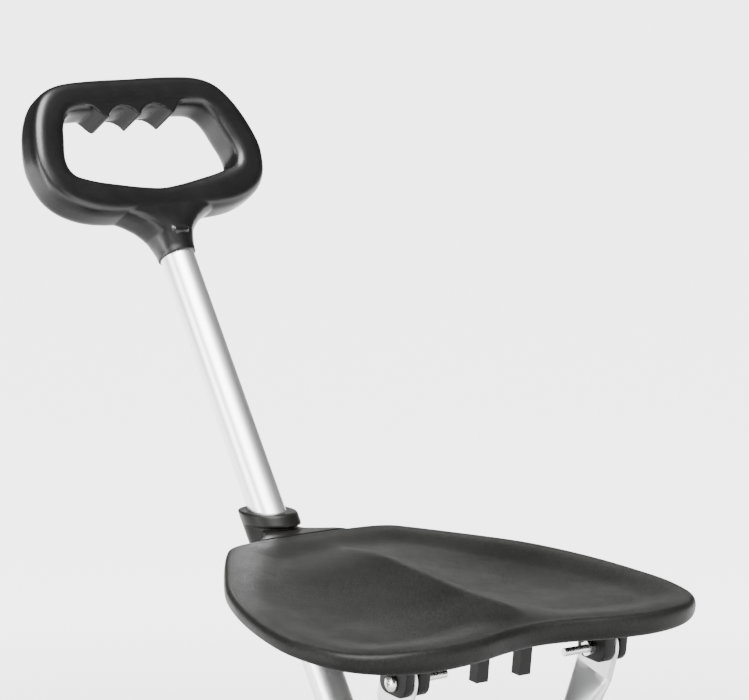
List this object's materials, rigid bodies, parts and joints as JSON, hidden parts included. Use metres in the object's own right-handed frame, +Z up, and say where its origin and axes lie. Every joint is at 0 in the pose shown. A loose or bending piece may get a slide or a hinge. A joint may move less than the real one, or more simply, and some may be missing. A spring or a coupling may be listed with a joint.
{
  "type": "folding tripod cane seat",
  "caption": "Folding cane seat: a leaning shaft with a closed grip, a moulded two-lobe seat on a sliding collar, and a pair of crossed folding legs.",
  "frame": {"origin": "on the ground, under the middle of the object's box", "axes": "+X across the seat to the user's left seen from the front, +Y to the back, towards the grip, +Z up"},
  "size_m": [0.282, 0.5138, 0.7687],
  "materials": {
    "anodised_tube": "satin",
    "grip_plastic": "semi-gloss moulded",
    "seat_plastic": "fine grain, satin",
    "fitting_plastic": "moulded, satin",
    "foot_rubber": "matte",
    "zinc_steel": "bright zinc plated",
    "bush_nylon": "natural moulded"
  },
  "bodies": {
    "shaft": {"shaft_tube": "anodised_tube", "handle_grip": "grip_plastic", "handle_screw": "zinc_steel", "stop_ring": "fitting_plastic", "stop_ring_pin": "zinc_steel", "crossing_bracket": "fitting_plastic", "crossing_bolt": "zinc_steel", "crossing_nut": "zinc_steel", "crossing_washers": "zinc_steel", "shaft_foot": "foot_rubber", "shaft_foot_disc": "zinc_steel"},
    "legs": {"leg_left": "anodised_tube", "leg_right": "anodised_tube", "leg_bushes": "bush_nylon", "foot_left": "foot_rubber", "foot_right": "foot_rubber", "foot_discs": "zinc_steel"},
    "seat": {"seat_shell": "seat_plastic", "seat_spine": "fitting_plastic", "lug_left": "fitting_plastic", "lug_right": "fitting_plastic", "seat_screws": "zinc_steel", "pivot_bolts": "zinc_steel", "pivot_nuts": "zinc_steel", "collar_pins": "zinc_steel", "collar_pin_clips": "zinc_steel"},
    "collar": {"slide_collar": "fitting_plastic"}
  },
  "joints": [
    {"name": "fold", "type": "hinge", "parent": "shaft", "child": "legs", "pos_m": [0, -0.06714, 0.26217], "axis": [-1, 0, 0], "range_deg": [0, 50.8]},
    {"name": "seat_tilt", "type": "hinge", "parent": "legs", "child": "seat", "pos_m": [0, -0.13356, 0.46067], "axis": [1, 0, 0], "range_deg": [0, 101.6]},
    {"name": "collar_turn", "type": "hinge", "parent": "seat", "child": "collar", "pos_m": [0, 0.07425, 0.48582], "axis": [-1, 0, 0], "range_deg": [0, 50.8]}
  ],
  "couplings": [
    {"joint": "seat_tilt", "follows": "fold", "ratio": 2},
    {"joint": "collar_turn", "follows": "fold", "ratio": 1}
  ]
}
